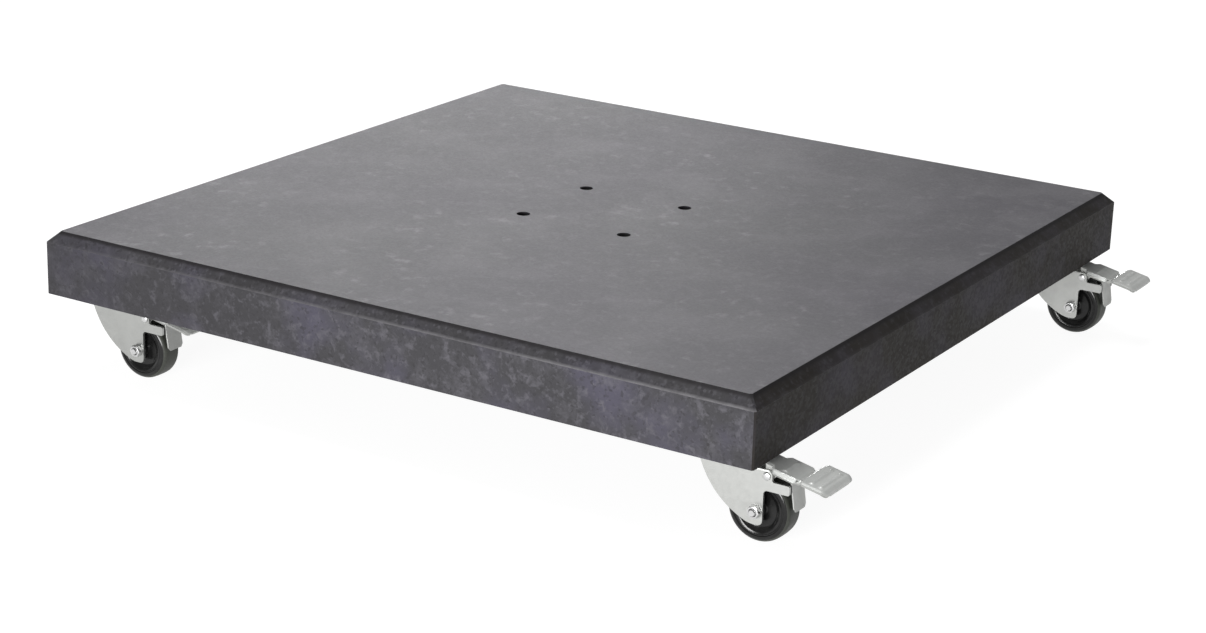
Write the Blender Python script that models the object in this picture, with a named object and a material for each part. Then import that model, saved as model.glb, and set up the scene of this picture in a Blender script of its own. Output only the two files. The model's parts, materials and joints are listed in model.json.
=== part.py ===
"""Rolling granite ballast slab: a chamfered square slab on four braked swivel castors.

All sizes are in millimetres and are turned into metres where a mesh is made. The origin is the
centre of the slab's top face, +Z is up. Every castor is drawn once, in its own frame, whose
origin is the swivel axis on the slab's underside, whose +Z is up and whose wheel trails to -Y.
"""

import bmesh
import bpy
from math import atan, cos, pi, sin
from mathutils import Matrix, Vector

MM = 0.001

# ---- clearances -------------------------------------------------------------------------
GAP = 0.3
RUNNING_GAP = 0.4
CUT = 5.0

# ---- slab -------------------------------------------------------------------------------
SLAB_SIDE = 750.0
SLAB_THICKNESS = 60.0
SLAB_CHAMFER = 10.0
SLAB_ARRIS = 1.5
MAST_CIRCLE = 160.0
MAST_HOLE_DIAMETER = 13.0
MAST_HOLE_SEGMENTS = 32

# ---- castor placing ---------------------------------------------------------------------
CASTOR_INSET = 47.0

# ---- mounting plate and its screws ------------------------------------------------------
PLATE_SIDE = 60.0
PLATE_THICKNESS = 2.5
PLATE_CORNER = 6.0
SCREW_SPACING = 44.0
SCREW_DIAMETER = 6.0
SCREW_HEAD_DIAMETER = 9.0
SCREW_HEAD_HEIGHT = 2.7
SCREW_HEAD_EDGE = 1.0
SCREW_GRIP = 18.0
SCREW_SEGMENTS = 10

# ---- swivel bearing ---------------------------------------------------------------------
RACE_CIRCLE = 28.0
BALL_DIAMETER = 3.6
RACE_DEPTH = 1.8
SKIRT_WALL = 1.6
SKIRT_OVERLAP = 0.9
KINGPIN_DIAMETER = 10.0
KINGPIN_HEAD_DIAMETER = 18.0
KINGPIN_HEAD_HEIGHT = 3.0
KINGPIN_HEAD_EDGE = 1.2
BEARING_SEGMENTS = 24

# ---- wheel ------------------------------------------------------------------------------
WHEEL_DIAMETER = 58.0
WHEEL_WIDTH = 22.0
WHEEL_SHOULDER = 4.5
WHEEL_DISH = 1.2
WHEEL_HUB_DIAMETER = 13.0
WHEEL_WEB_DIAMETER = 20.0
WHEEL_TOP_CLEARANCE = 7.7
TRAIL = 34.0
WHEEL_SEGMENTS = 32

# ---- fork -------------------------------------------------------------------------------
FORK_SHEET = 2.5
FORK_SIDE_GAP = 1.5
FORK_BEND = 3.0
FORK_BEND_SEGMENTS = 3
CROWN_FRONT = 21.0
CROWN_BACK = 24.0
LEG_BULGE = 8.0
LEG_BULGE_POINTS = 6
LEG_TIP_DROP = 12.0
LEG_BACK = 6.5
LEG_CORNER = 3.5
EAR_HEIGHT = 8.3
EAR_DROP = 1.0
EAR_OVERRUN = 1.0

# ---- axle bolt and nut ------------------------------------------------------------------
AXLE_DIAMETER = 6.0
AXLE_HEX = 10.0
AXLE_HEAD_HEIGHT = 4.0
AXLE_NUT_HEIGHT = 5.0
AXLE_THREAD_END = 1.5
AXLE_SEGMENTS = 16

# ---- brake ------------------------------------------------------------------------------
PIN_DIAMETER = 4.0
PIN_HEAD_DIAMETER = 7.0
PIN_HEAD_HEIGHT = 1.3
PIN_BEHIND_AXLE = 9.0
PIN_DROP = 4.2
PIN_EYE = 5.0
PIN_SEGMENTS = 12
PEDAL_SHEET = 1.8
PEDAL_RISE = 9.1
PEDAL_SLOPE = 0.205
PEDAL_FRONT = 5.0
PEDAL_BODY_LENGTH = 28.0
PEDAL_BODY_WIDTH = 37.0
PEDAL_NECK_LENGTH = 4.0
PEDAL_NECK_WIDTH = 31.0
PEDAL_PAD_LENGTH = 26.0
PEDAL_PAD_WIDTH = 50.0
PEDAL_PAD_STEP = 3.5
PEDAL_PAD_CORNER = 6.0
FLANGE_SIDE_GAP = 1.0
FLANGE_SHEET = 1.5
FLANGE_EYE = 3.4
FLANGE_LENGTH = 13.0
SHOE_SHEET = 1.5
SHOE_GAP = 3.0
SHOE_WIDTH = 20.0
SHOE_FOOT_WIDTH = 15.0
SHOE_TAPER = 3.0
SHOE_REACH = 4.0
SHOE_LEAN = 5.0

# ---- heights in the castor frame, worked out from the sizes above ----------------------
PLATE_TOP = -GAP
PLATE_BOTTOM = PLATE_TOP - PLATE_THICKNESS
RACE_FACE = PLATE_BOTTOM - RACE_DEPTH
BALL_CENTRE = RACE_FACE - GAP - BALL_DIAMETER / 2
CROWN_TOP = BALL_CENTRE - BALL_DIAMETER / 2 - GAP
SKIRT_FOOT = CROWN_TOP + SKIRT_OVERLAP
CROWN_BOTTOM = CROWN_TOP - FORK_SHEET
WHEEL_RADIUS = WHEEL_DIAMETER / 2
WHEEL_TOP = CROWN_BOTTOM - WHEEL_TOP_CLEARANCE
AXLE_HEIGHT = WHEEL_TOP - WHEEL_RADIUS
LEG_INSIDE = WHEEL_WIDTH / 2 + FORK_SIDE_GAP
LEG_OUTSIDE = LEG_INSIDE + FORK_SHEET
PIN_BACK = TRAIL + PIN_BEHIND_AXLE
PIN_HEIGHT = CROWN_BOTTOM - PIN_DROP

# ---- colours: base colour, metallic, roughness ------------------------------------------
GRANITE = ("granite", (0.20, 0.20, 0.21), 0.0, 0.45)
ZINC_PLATE = ("zinc_plate", (0.62, 0.63, 0.62), 1.0, 0.38)
ZINC_FORK = ("zinc_fork", (0.66, 0.67, 0.65), 1.0, 0.34)
ZINC_BRAKE = ("zinc_brake", (0.55, 0.56, 0.55), 1.0, 0.36)
BRIGHT_STEEL = ("bright_steel", (0.60, 0.60, 0.61), 1.0, 0.28)
BLACK_WHEEL = ("black_wheel", (0.02, 0.02, 0.02), 0.0, 0.25)

CORNERS = {
    "front_left": (-1, -1),
    "front_right": (1, -1),
    "rear_left": (-1, 1),
    "rear_right": (1, 1),
}


def clear_scene():
    """Remove every object that the factory scene starts with."""
    for thing in list(bpy.data.objects):
        bpy.data.objects.remove(thing, do_unlink=True)


def material(spec):
    """The Principled material of a (name, colour, metallic, roughness) row, made once."""
    name, colour, metallic, roughness = spec
    found = bpy.data.materials.get(name)
    if found:
        return found
    made = bpy.data.materials.new(name)
    made.use_nodes = True
    shader = made.node_tree.nodes["Principled BSDF"]
    shader.inputs["Base Color"].default_value = (*colour, 1.0)
    shader.inputs["Metallic"].default_value = metallic
    shader.inputs["Roughness"].default_value = roughness
    made.diffuse_color = (*colour, 1.0)
    return made


def solid(name, bm, round_angle=None):
    """Close a bmesh in millimetres into a mesh in metres, with its faces out."""
    bmesh.ops.remove_doubles(bm, verts=bm.verts, dist=0.001)
    bmesh.ops.dissolve_degenerate(bm, edges=bm.edges, dist=0.001)
    bmesh.ops.recalc_face_normals(bm, faces=bm.faces)
    bmesh.ops.scale(bm, vec=(MM, MM, MM), verts=bm.verts)
    mesh = bpy.data.meshes.new(name)
    bm.to_mesh(mesh)
    bm.free()
    if round_angle:
        mesh.shade_smooth()
        mesh.set_sharp_from_angle(angle=round_angle)
    return mesh


def spun(profile, segments, closed):
    """A solid of revolution about +Z from (radius, height) points.

    A closed profile is a ring with a bore. An open one starts and ends on the axis.
    """
    bm = bmesh.new()
    verts = [bm.verts.new((radius, 0.0, height)) for radius, height in profile]
    pairs = list(zip(verts, verts[1:]))
    if closed:
        pairs.append((verts[-1], verts[0]))
    edges = [bm.edges.new(pair) for pair in pairs]
    bmesh.ops.spin(
        bm,
        geom=verts + edges,
        cent=(0, 0, 0),
        axis=(0, 0, 1),
        angle=2 * pi,
        steps=segments,
        use_merge=True,
    )
    bmesh.ops.remove_doubles(bm, verts=bm.verts, dist=0.001)
    return bm


def prism(outline, low, high, axis):
    """A flat outline pushed from low to high along X, or along Z."""
    bm = bmesh.new()
    if axis == "X":
        base = [bm.verts.new((low, -back, height)) for back, height in outline]
        push = (high - low, 0, 0)
    else:
        base = [bm.verts.new((across, -back, low)) for across, back in outline]
        push = (0, 0, high - low)
    face = bm.faces.new(base)
    grown = bmesh.ops.extrude_face_region(bm, geom=[face], use_keep_orig=True)
    moved = [item for item in grown["geom"] if isinstance(item, bmesh.types.BMVert)]
    bmesh.ops.translate(bm, vec=push, verts=moved)
    bmesh.ops.recalc_face_normals(bm, faces=bm.faces)
    return bm


def rod(radius, low, high, segments, spot, axis):
    """A plain round cutter along X or Z through the point spot."""
    bm = bmesh.new()
    turn = Matrix.Rotation(pi / 2, 4, "Y") if axis == "X" else Matrix.Identity(4)
    shift = Vector(((low + high) / 2, 0, 0)) if axis == "X" else Vector((0, 0, (low + high) / 2))
    bmesh.ops.create_cone(
        bm,
        cap_ends=True,
        segments=segments,
        radius1=radius,
        radius2=radius,
        depth=high - low,
        matrix=Matrix.Translation(Vector(spot) + shift) @ turn,
    )
    return bm


def joined(parts):
    """Several separate solids in one bmesh."""
    mesh = bpy.data.meshes.new("joined")
    whole = bmesh.new()
    for part in parts:
        part.to_mesh(mesh)
        part.free()
        whole.from_mesh(mesh)
    bpy.data.meshes.remove(mesh)
    return whole


def combined(base, other, operation):
    """One solid cut by, joined to or kept inside another with the exact solver."""
    pair = []
    for label, bm in (("base", base), ("other", other)):
        bmesh.ops.recalc_face_normals(bm, faces=bm.faces)
        mesh = bpy.data.meshes.new(label)
        bm.to_mesh(mesh)
        bm.free()
        thing = bpy.data.objects.new(label, mesh)
        bpy.context.scene.collection.objects.link(thing)
        pair.append(thing)
    cutter = pair[0].modifiers.new("cutter", "BOOLEAN")
    cutter.operation = operation
    cutter.solver = "EXACT"
    cutter.object = pair[1]
    graph = bpy.context.evaluated_depsgraph_get()
    result = bmesh.new()
    result.from_mesh(pair[0].evaluated_get(graph).data)
    for thing in pair:
        mesh = thing.data
        bpy.data.objects.remove(thing, do_unlink=True)
        bpy.data.meshes.remove(mesh)
    return result


def place(name, mesh, spec, parent=None, spot=(0, 0, 0), turn=(0, 0, 0)):
    """One named object for a sub-part, at a point given in millimetres."""
    thing = bpy.data.objects.new(name, mesh)
    if not mesh.materials:
        mesh.materials.append(material(spec))
    bpy.context.scene.collection.objects.link(thing)
    thing.location = [value * MM for value in spot]
    thing.rotation_euler = turn
    thing.parent = parent
    return thing


def castor_spots():
    """Each castor's swivel axis on the slab's underside."""
    reach = SLAB_SIDE / 2 - CASTOR_INSET
    return {
        corner: (side * reach, end * reach, -SLAB_THICKNESS)
        for corner, (side, end) in CORNERS.items()
    }


def screw_spots():
    """The four plate screws about one swivel axis."""
    half = SCREW_SPACING / 2
    return [(side * half, end * half) for side in (-1, 1) for end in (-1, 1)]


def slab_mesh():
    """The slab: chamfered top edges, four mast holes, a blind hole for every plate screw."""
    bm = bmesh.new()
    size = Matrix.Diagonal((SLAB_SIDE, SLAB_SIDE, SLAB_THICKNESS, 1))
    drop = Matrix.Translation((0, 0, -SLAB_THICKNESS / 2))
    bmesh.ops.create_cube(bm, size=1.0, matrix=drop @ size)
    rim = [edge for edge in bm.edges if all(abs(vert.co.z) < GAP for vert in edge.verts)]
    bmesh.ops.bevel(
        bm,
        geom=rim,
        offset=SLAB_CHAMFER,
        offset_type="OFFSET",
        segments=1,
        profile=0.5,
        affect="EDGES",
        material=-1,
    )
    corners = [edge for edge in bm.edges if abs(edge.verts[0].co.z - edge.verts[1].co.z) > GAP]
    bmesh.ops.bevel(
        bm, geom=corners, offset=SLAB_ARRIS, segments=1, profile=0.5, affect="EDGES", material=-1
    )
    reach = MAST_CIRCLE / 2 * cos(pi / 4)
    low = -SLAB_THICKNESS - CUT
    cutters = [
        rod(MAST_HOLE_DIAMETER / 2, low, CUT, MAST_HOLE_SEGMENTS, (x, y, 0), "Z")
        for x in (-reach, reach)
        for y in (-reach, reach)
    ]
    depth = SCREW_GRIP + GAP - SLAB_THICKNESS
    radius = SCREW_DIAMETER / 2 + RUNNING_GAP
    for spot in castor_spots().values():
        for across, along in screw_spots():
            middle = (spot[0] + across, spot[1] + along, 0)
            cutters.append(rod(radius, low, depth, SCREW_SEGMENTS, middle, "Z"))
    return solid("slab", combined(bm, joined(cutters), "DIFFERENCE"))


def corner_square(side, corner, steps):
    """The outline of a square with rounded corners."""
    inner = side / 2 - corner
    points = []
    for quarter in range(4):
        base = quarter * pi / 2
        spot = (inner * (1, -1, -1, 1)[quarter], inner * (1, 1, -1, -1)[quarter])
        for step in range(steps + 1):
            angle = base + step / steps * pi / 2
            points.append((spot[0] + corner * cos(angle), spot[1] + corner * sin(angle)))
    return points


def plate_mesh():
    """Mounting plate with its upper ball race and the skirt that covers the balls."""
    sheet = prism(corner_square(PLATE_SIDE, PLATE_CORNER, 3), PLATE_BOTTOM, PLATE_TOP, "Z")
    bore = KINGPIN_DIAMETER / 2 + GAP
    skirt_inside = RACE_CIRCLE / 2 + BALL_DIAMETER / 2 + RUNNING_GAP + SKIRT_WALL / 2
    skirt_outside = skirt_inside + SKIRT_WALL
    sunk = PLATE_BOTTOM + PLATE_THICKNESS / 2
    race = spun(
        [
            (bore + GAP, sunk),
            (bore + GAP, RACE_FACE),
            (skirt_inside, RACE_FACE),
            (skirt_inside, SKIRT_FOOT),
            (skirt_outside, SKIRT_FOOT),
            (skirt_outside, sunk),
        ],
        BEARING_SEGMENTS,
        True,
    )
    whole = combined(sheet, race, "UNION")
    low = SKIRT_FOOT - CUT
    holes = [rod(bore, low, CUT, BEARING_SEGMENTS, (0, 0, 0), "Z")]
    radius = SCREW_DIAMETER / 2 + RUNNING_GAP
    for across, along in screw_spots():
        holes.append(rod(radius, low, CUT, SCREW_SEGMENTS, (across, along, 0), "Z"))
    return solid("mounting_plate", combined(whole, joined(holes), "DIFFERENCE"))


def screw_mesh():
    """Pan-head plate screw, its origin on the seat under its head."""
    head = SCREW_HEAD_DIAMETER / 2
    shank = SCREW_DIAMETER / 2
    length = SCREW_GRIP - (PLATE_BOTTOM - GAP)
    profile = [
        (0, -SCREW_HEAD_HEIGHT),
        (head - SCREW_HEAD_EDGE, -SCREW_HEAD_HEIGHT),
        (head, SCREW_HEAD_EDGE - SCREW_HEAD_HEIGHT),
        (head, 0),
        (shank, 0),
        (shank, length),
        (0, length),
    ]
    return solid("plate_screw", spun(profile, SCREW_SEGMENTS, False), pi / 5)


def kingpin_mesh():
    """Rivet that holds the fork crown up under the plate."""
    head = KINGPIN_HEAD_DIAMETER / 2
    shank = KINGPIN_DIAMETER / 2
    seat = CROWN_BOTTOM - GAP
    foot = seat - KINGPIN_HEAD_HEIGHT
    profile = [
        (0, foot),
        (head - KINGPIN_HEAD_EDGE, foot),
        (head, foot + KINGPIN_HEAD_EDGE),
        (head, seat),
        (shank, seat),
        (shank, PLATE_TOP - GAP),
        (0, PLATE_TOP - GAP),
    ]
    return solid("kingpin", spun(profile, BEARING_SEGMENTS, False), pi / 5)


def ball_ring_mesh():
    """The ring of balls between the plate's race and the fork crown."""
    radius = BALL_DIAMETER / 2
    profile = [
        (
            RACE_CIRCLE / 2 + radius * cos(step * pi / 3 + pi / 6) / cos(pi / 6),
            radius * sin(step * pi / 3 + pi / 6) / sin(pi / 2),
        )
        for step in range(6)
    ]
    return solid("ball_ring", spun(profile, BEARING_SEGMENTS, True), pi / 2.5)


def leg_outline():
    """Side outline of the fork, as (distance behind the swivel axis, height) points."""
    top = Vector((-CROWN_FRONT, CROWN_TOP))
    foot = Vector((TRAIL - LEG_TIP_DROP * 0.75, AXLE_HEIGHT - LEG_TIP_DROP * 0.9))
    run = foot - top
    outward = Vector((run.y, -run.x)).normalized()
    points = [(-CROWN_FRONT, CUT), tuple(top)]
    for step in range(1, LEG_BULGE_POINTS):
        part = step / LEG_BULGE_POINTS
        spot = top + run * part + outward * (LEG_BULGE * 4 * part * (1 - part))
        points.append(tuple(spot))
    back = TRAIL + LEG_BACK
    points.append(tuple(foot))
    points.append((TRAIL - LEG_TIP_DROP / 3, AXLE_HEIGHT - LEG_TIP_DROP))
    points.append((back - LEG_CORNER, AXLE_HEIGHT - LEG_TIP_DROP))
    points.append((back, AXLE_HEIGHT - LEG_TIP_DROP + LEG_CORNER))
    ear_top = WHEEL_TOP - EAR_DROP
    ear_foot = ear_top - EAR_HEIGHT
    ear_end = TRAIL + WHEEL_RADIUS + EAR_OVERRUN
    points.append((back, ear_foot - LEG_CORNER))
    points.append((back + LEG_CORNER * 0.3, ear_foot - LEG_CORNER * 0.3))
    points.append((back + LEG_CORNER, ear_foot))
    points.append((ear_end - LEG_CORNER / 3, ear_foot))
    points.append((ear_end, ear_foot + LEG_CORNER / 3))
    points.append((ear_end, ear_top - LEG_CORNER / 3))
    points.append((ear_end - LEG_CORNER / 3, ear_top))
    eye_back = PIN_BACK + PIN_EYE
    points.append((eye_back + LEG_CORNER / 2, ear_top))
    points.append((eye_back, ear_top + LEG_CORNER / 2))
    points.append((eye_back, PIN_HEIGHT))
    for step in (1, 2, 3):
        angle = step * pi / 6
        points.append((PIN_BACK + PIN_EYE * cos(angle), PIN_HEIGHT + PIN_EYE * sin(angle)))
    points.append((CROWN_BACK + LEG_CORNER, PIN_HEIGHT + PIN_EYE))
    points.append((CROWN_BACK, CROWN_TOP))
    points.append((CROWN_BACK, CUT))
    return points


def channel_outline():
    """Front outline of the fork's bent sheet, an upside-down U, as (across, height) points."""
    foot = AXLE_HEIGHT - LEG_TIP_DROP - CUT
    points = [(-LEG_OUTSIDE, foot)]
    for step in range(FORK_BEND_SEGMENTS + 1):
        angle = pi - step / FORK_BEND_SEGMENTS * pi / 2
        across = -LEG_OUTSIDE + FORK_BEND + FORK_BEND * cos(angle)
        points.append((across, CROWN_TOP - FORK_BEND + FORK_BEND * sin(angle)))
    points += [(-across, height) for across, height in reversed(points)]
    points += [
        (LEG_INSIDE, foot),
        (LEG_INSIDE, CROWN_BOTTOM),
        (-LEG_INSIDE, CROWN_BOTTOM),
        (-LEG_INSIDE, foot),
    ]
    return points


def fork_mesh():
    """Pressed fork: crown, two legs that carry the axle, two ears that carry the pedal pin."""
    bm = bmesh.new()
    front = CROWN_FRONT + CUT
    back = TRAIL + WHEEL_RADIUS + EAR_OVERRUN + CUT
    face = bm.faces.new([bm.verts.new((x, front, z)) for x, z in channel_outline()])
    grown = bmesh.ops.extrude_face_region(bm, geom=[face], use_keep_orig=True)
    moved = [item for item in grown["geom"] if isinstance(item, bmesh.types.BMVert)]
    bmesh.ops.translate(bm, vec=(0, -front - back, 0), verts=moved)
    side = prism(leg_outline(), -LEG_OUTSIDE - CUT, LEG_OUTSIDE + CUT, "X")
    shape = combined(bm, side, "INTERSECT")
    window = [
        (CROWN_BACK, CUT),
        (CROWN_BACK, PIN_HEIGHT),
        (back, PIN_HEIGHT),
        (back, CUT),
    ]
    low = -LEG_OUTSIDE - CUT
    high = LEG_OUTSIDE + CUT
    axle = (0, -TRAIL, AXLE_HEIGHT)
    pin = (0, -PIN_BACK, PIN_HEIGHT)
    shape = combined(shape, prism(window, -LEG_INSIDE, LEG_INSIDE, "X"), "DIFFERENCE")
    cutters = [
        rod(KINGPIN_DIAMETER / 2 + RUNNING_GAP, AXLE_HEIGHT, CUT, BEARING_SEGMENTS, (0, 0, 0), "Z"),
        rod(AXLE_DIAMETER / 2 + GAP, low, high, AXLE_SEGMENTS, axle, "X"),
        rod(PIN_DIAMETER / 2 + GAP, low, high, PIN_SEGMENTS, pin, "X"),
    ]
    return solid("fork", combined(shape, joined(cutters), "DIFFERENCE"), pi / 5)


def turned_to_x(bm):
    """Lay a solid of revolution down, so that its axis runs along X."""
    bmesh.ops.rotate(bm, cent=(0, 0, 0), matrix=Matrix.Rotation(pi / 2, 3, "Y"), verts=bm.verts)
    return bm


def wheel_mesh():
    """Moulded wheel with a rounded tread and a hub that runs on the axle bolt."""
    half = WHEEL_WIDTH / 2
    bore = AXLE_DIAMETER / 2 + RUNNING_GAP
    hub = LEG_INSIDE - GAP
    edge = [
        (bore, hub),
        (WHEEL_HUB_DIAMETER / 2, hub),
        (WHEEL_WEB_DIAMETER / 2, half - WHEEL_DISH),
        (WHEEL_RADIUS - WHEEL_SHOULDER, half),
        (WHEEL_RADIUS - WHEEL_SHOULDER * 0.3, half - WHEEL_SHOULDER * 0.3),
        (WHEEL_RADIUS, half - WHEEL_SHOULDER),
    ]
    profile = edge + [(radius, -along) for radius, along in reversed(edge)]
    return solid("wheel", turned_to_x(spun(profile, WHEEL_SEGMENTS, True)), pi / 5)


def hexagon(across_flats):
    """The corners of a hexagon with flats up and down, as (along, up) points."""
    reach = across_flats / 2 / cos(pi / 6)
    return [(reach * cos(step * pi / 3), reach * sin(step * pi / 3)) for step in range(6)]


def bolt_mesh():
    """Axle bolt: hexagon head on the +X side, its end standing out of the nut on the -X side."""
    seat = LEG_OUTSIDE + GAP
    radius = AXLE_DIAMETER / 2
    end = seat + AXLE_NUT_HEIGHT + AXLE_THREAD_END
    head = prism(hexagon(AXLE_HEX), seat, seat + AXLE_HEAD_HEIGHT, "X")
    shank = rod(radius, -end, seat + AXLE_HEAD_HEIGHT / 2, AXLE_SEGMENTS, (0, 0, 0), "X")
    return solid("axle_bolt", combined(head, shank, "UNION"), pi / 5)


def nut_mesh():
    """Hexagon nut on the axle bolt's -X end."""
    seat = -LEG_OUTSIDE - GAP
    bore = AXLE_DIAMETER / 2 + GAP
    body = prism(hexagon(AXLE_HEX), seat - AXLE_NUT_HEIGHT, seat, "X")
    hole = rod(bore, seat - AXLE_NUT_HEIGHT - CUT, seat + CUT, AXLE_SEGMENTS, (0, 0, 0), "X")
    return solid("axle_nut", combined(body, hole, "DIFFERENCE"), pi / 5)


def pin_mesh():
    """Rivet that the brake pedal hinges on, with a head outside each ear."""
    seat = LEG_OUTSIDE + GAP
    end = seat + PIN_HEAD_HEIGHT
    shank = PIN_DIAMETER / 2
    head = PIN_HEAD_DIAMETER / 2
    profile = [
        (0, -end),
        (head, -end),
        (head, -seat),
        (shank, -seat),
        (shank, seat),
        (head, seat),
        (head, end),
        (0, end),
    ]
    return solid("pedal_pin", turned_to_x(spun(profile, PIN_SEGMENTS, False)), pi / 5)


def pedal_stations():
    """The pedal's top face as (distance behind the pin, height over it, half width) rows."""
    neck = PEDAL_BODY_LENGTH
    pad = neck + PEDAL_NECK_LENGTH
    tip = pad + PEDAL_PAD_LENGTH
    raised = PEDAL_RISE + PEDAL_PAD_STEP
    corner = PEDAL_PAD_CORNER
    body_half = PEDAL_BODY_WIDTH / 2
    neck_half = PEDAL_NECK_WIDTH / 2
    pad_half = PEDAL_PAD_WIDTH / 2
    flange_half = LEG_INSIDE - FLANGE_SIDE_GAP
    rows = [
        (-PEDAL_FRONT, PEDAL_RISE, flange_half),
        (PIN_EYE - corner / 2, PEDAL_RISE, flange_half),
        (PIN_EYE, PEDAL_RISE, body_half),
        (neck - corner / 2, PEDAL_RISE, body_half),
        (neck, PEDAL_RISE, neck_half),
        (pad - corner / 3, raised - PEDAL_PAD_STEP / 4, neck_half),
        (pad + corner / 3, raised, pad_half),
    ]
    for step in range(4):
        angle = step * pi / 6
        drop = corner / 3 * (1 - cos(angle))
        back = tip - corner + corner * sin(angle)
        rows.append((back, raised - drop, pad_half - corner + corner * cos(angle)))
    return rows


def pedal_mesh():
    """Stamped brake pedal: sloping body, stepped foot pad and two flanges on the pin."""
    bm = bmesh.new()
    rings = []
    for back, height, half in pedal_stations():
        corners = [
            (-half, height),
            (half, height),
            (half, height - PEDAL_SHEET),
            (-half, height - PEDAL_SHEET),
        ]
        rings.append([bm.verts.new((across, -back, up)) for across, up in corners])
    for ring, following in zip(rings, rings[1:]):
        for index in range(4):
            after = (index + 1) % 4
            bm.faces.new((ring[index], ring[after], following[after], following[index]))
    bm.faces.new(rings[0])
    bm.faces.new(list(reversed(rings[-1])))
    outside = LEG_INSIDE - FLANGE_SIDE_GAP
    high = PEDAL_RISE - PEDAL_SHEET / 2
    outline = [
        (-PEDAL_FRONT + GAP, high),
        (-FLANGE_EYE, 0),
        (-FLANGE_EYE * cos(pi / 4), -FLANGE_EYE * sin(pi / 4)),
        (0, -FLANGE_EYE),
        (FLANGE_EYE * cos(pi / 4), -FLANGE_EYE * sin(pi / 4)),
        (FLANGE_LENGTH / 2, 0),
        (FLANGE_LENGTH, high - FLANGE_EYE),
        (FLANGE_LENGTH, high),
    ]
    for side in (-1, 1):
        near, far = sorted((side * outside, side * (outside - FLANGE_SHEET)))
        bm = combined(bm, prism(outline, near, far, "X"), "UNION")
    hole = rod(PIN_DIAMETER / 2 + GAP, -outside - CUT, outside + CUT, PIN_SEGMENTS, (0, 0, 0), "X")
    return solid("brake_pedal", combined(bm, hole, "DIFFERENCE"), pi / 5)


def shoe_outline():
    """Side outline of the brake shoe from the pin, as (behind, above) points in its rest frame."""
    slope = atan(PEDAL_SLOPE)
    under = PEDAL_RISE - PEDAL_SHEET - GAP
    face = TRAIL + WHEEL_RADIUS + SHOE_GAP - PIN_BACK
    foot = AXLE_HEIGHT + SHOE_REACH - PIN_HEIGHT
    tab = FLANGE_LENGTH * cos(slope) + PEDAL_RISE * sin(slope) + RUNNING_GAP
    bend = face - SHOE_LEAN

    def ceiling(behind, depth):
        return (under - depth) / cos(slope) - behind * PEDAL_SLOPE

    return [
        (tab, ceiling(tab, 0)),
        (tab, ceiling(tab, SHOE_SHEET)),
        (bend, ceiling(bend, SHOE_SHEET)),
        (face, foot),
        (face + SHOE_SHEET, foot),
        (bend + SHOE_SHEET, ceiling(bend + SHOE_SHEET, 0)),
    ]


def shoe_mesh():
    """Brake shoe: a tab under the pedal, then a blade hanging behind the tread."""
    outline = shoe_outline()
    wide = prism(outline, -SHOE_WIDTH / 2, SHOE_WIDTH / 2, "X")
    foot = min(height for behind, height in outline)
    half = SHOE_WIDTH / 2
    narrow = SHOE_FOOT_WIDTH / 2
    bevels = []
    for side in (-1, 1):
        wedge = bmesh.new()
        rows = [
            (side * narrow, foot),
            (side * half, foot + SHOE_TAPER),
            (side * (half + CUT), foot + SHOE_TAPER),
            (side * (half + CUT), foot - CUT),
            (side * narrow, foot - CUT),
        ]
        front = -min(behind for behind, height in outline) + CUT
        back = -max(behind for behind, height in outline) - CUT
        face = wedge.faces.new([wedge.verts.new((x, front, z)) for x, z in rows])
        grown = bmesh.ops.extrude_face_region(wedge, geom=[face], use_keep_orig=True)
        moved = [item for item in grown["geom"] if isinstance(item, bmesh.types.BMVert)]
        bmesh.ops.translate(wedge, vec=(0, back - front, 0), verts=moved)
        bmesh.ops.recalc_face_normals(wedge, faces=wedge.faces)
        bevels.append(wedge)
    return solid("brake_shoe", combined(wide, joined(bevels), "DIFFERENCE"))


def build():
    """Make the slab, draw each castor piece once and place it under every corner."""
    clear_scene()
    place("granite_slab", slab_mesh(), GRANITE)
    plate = plate_mesh()
    screw = screw_mesh()
    kingpin = kingpin_mesh()
    balls = ball_ring_mesh()
    fork = fork_mesh()
    wheel = wheel_mesh()
    bolt = bolt_mesh()
    nut = nut_mesh()
    pin = pin_mesh()
    pedal = pedal_mesh()
    shoe = shoe_mesh()
    axle_spot = (0, -TRAIL, AXLE_HEIGHT)
    pin_spot = (0, -PIN_BACK, PIN_HEIGHT)
    for corner, spot in castor_spots().items():
        castor = bpy.data.objects.new(corner + "_castor", None)
        bpy.context.scene.collection.objects.link(castor)
        castor.location = [value * MM for value in spot]
        place(corner + "_mounting_plate", plate, ZINC_PLATE, castor)
        for number, (across, along) in enumerate(screw_spots(), 1):
            seat = (across, along, PLATE_BOTTOM - GAP)
            name = corner + "_plate_screw_" + str(number)
            place(name, screw, BRIGHT_STEEL, castor, seat)
        place(corner + "_kingpin", kingpin, BRIGHT_STEEL, castor)
        place(corner + "_ball_ring", balls, BRIGHT_STEEL, castor, (0, 0, BALL_CENTRE))
        place(corner + "_fork", fork, ZINC_FORK, castor)
        place(corner + "_wheel", wheel, BLACK_WHEEL, castor, axle_spot)
        place(corner + "_axle_bolt", bolt, BRIGHT_STEEL, castor, axle_spot)
        place(corner + "_axle_nut", nut, BRIGHT_STEEL, castor, axle_spot)
        place(corner + "_pedal_pin", pin, BRIGHT_STEEL, castor, pin_spot)
        tilt = (atan(PEDAL_SLOPE), 0, 0)
        place(corner + "_brake_pedal", pedal, ZINC_BRAKE, castor, pin_spot, tilt)
        place(corner + "_brake_shoe", shoe, ZINC_BRAKE, castor, pin_spot)


build()
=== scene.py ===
"""Finished look of the rolling granite slab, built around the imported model.

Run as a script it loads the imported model, makes every finished piece and the stage. Each castor
piece is drawn once about its swivel axis and then set under all four corners.
"""

import json
from math import atan, atan2, cos, pi, radians, sin, sqrt, tan

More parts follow.
